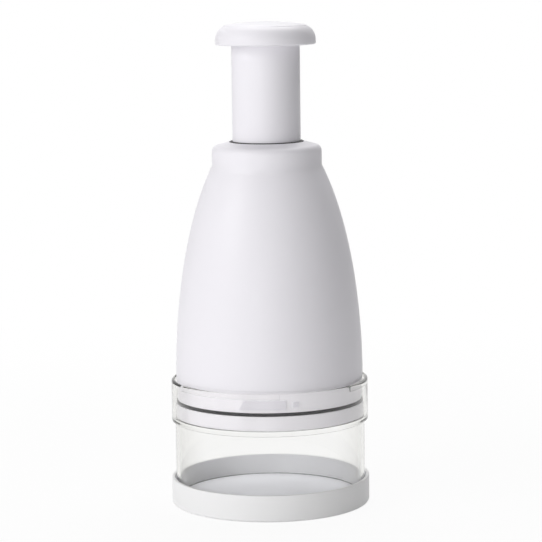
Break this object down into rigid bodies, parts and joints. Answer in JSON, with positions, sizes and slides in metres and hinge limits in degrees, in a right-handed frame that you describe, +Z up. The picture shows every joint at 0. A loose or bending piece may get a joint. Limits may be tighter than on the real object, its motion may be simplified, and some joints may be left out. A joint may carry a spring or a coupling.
{
  "type": "plunger food chopper",
  "caption": "Hand food chopper: pressing the knob drives a zigzag blade down inside a clear cup and turns it a step each stroke.",
  "frame": {"origin": "centre of the tray's underside, on the surface that it stands on", "axes": "+Z up along the axis of the plunger, +X to the right and -Y to the front"},
  "size_m": [0.094, 0.094, 0.2275],
  "materials": {
    "white_plastic": "semi-gloss moulded, very pale cool white",
    "clear_plastic": "clear polished",
    "natural_acetal": "unpigmented, slightly waxy",
    "dark_rubber": "matte",
    "steel": "drawn wire and turned rod, zinc bright",
    "blade_steel": "cold rolled stainless, ground along the edge"
  },
  "bodies": {
    "base": {"base_tray": "white_plastic"},
    "cup": {"clear_cup": "clear_plastic"},
    "housing": {"bell_housing": "white_plastic", "neck_bush": "natural_acetal", "guide_frame": "white_plastic", "frame_screws": "steel", "housing_seal": "dark_rubber", "wiper_ring": "white_plastic", "index_nut": "natural_acetal", "ratchet_ring": "natural_acetal", "nut_cover": "white_plastic", "ratchet_spring": "steel", "return_spring": "steel"},
    "wiper": {"wiper_disc": "white_plastic"},
    "plunger": {"plunger_tube": "white_plastic", "knob": "white_plastic", "knob_top_plate": "white_plastic", "thrust_washer": "natural_acetal"},
    "rotor": {"index_spindle": "steel", "rod_clip": "steel", "blade_hub": "white_plastic", "blade": "blade_steel"}
  },
  "joints": [
    {"name": "cup_lift", "type": "slide", "parent": "base", "child": "cup", "axis": [0, 0, 1], "range_m": [0, 0.03]},
    {"name": "housing_twist", "type": "hinge", "parent": "cup", "child": "housing", "pos_m": [0, 0, 0.06], "axis": [0, 0, 1], "range_deg": [0, 28]},
    {"name": "plunger_press", "type": "slide", "parent": "housing", "child": "plunger", "axis": [0, 0, -1], "range_m": [0, 0.0405], "stiffness_N_per_m": 350, "springref_m": -0.02, "deforming": ["return_spring"]},
    {"name": "blade_index", "type": "hinge", "parent": "plunger", "child": "rotor", "pos_m": [0, 0, 0.15], "axis": [0, 0, -1], "range_deg": [0, 60]},
    {"name": "wiper_turn", "type": "hinge", "parent": "housing", "child": "wiper", "pos_m": [0, 0, 0.044], "axis": [0, 0, -1], "range_deg": [0, 60]}
  ],
  "couplings": [
    {"joint": "blade_index", "follows": "plunger_press", "rad_per_m": 25.857},
    {"joint": "wiper_turn", "follows": "plunger_press", "rad_per_m": 25.857}
  ]
}
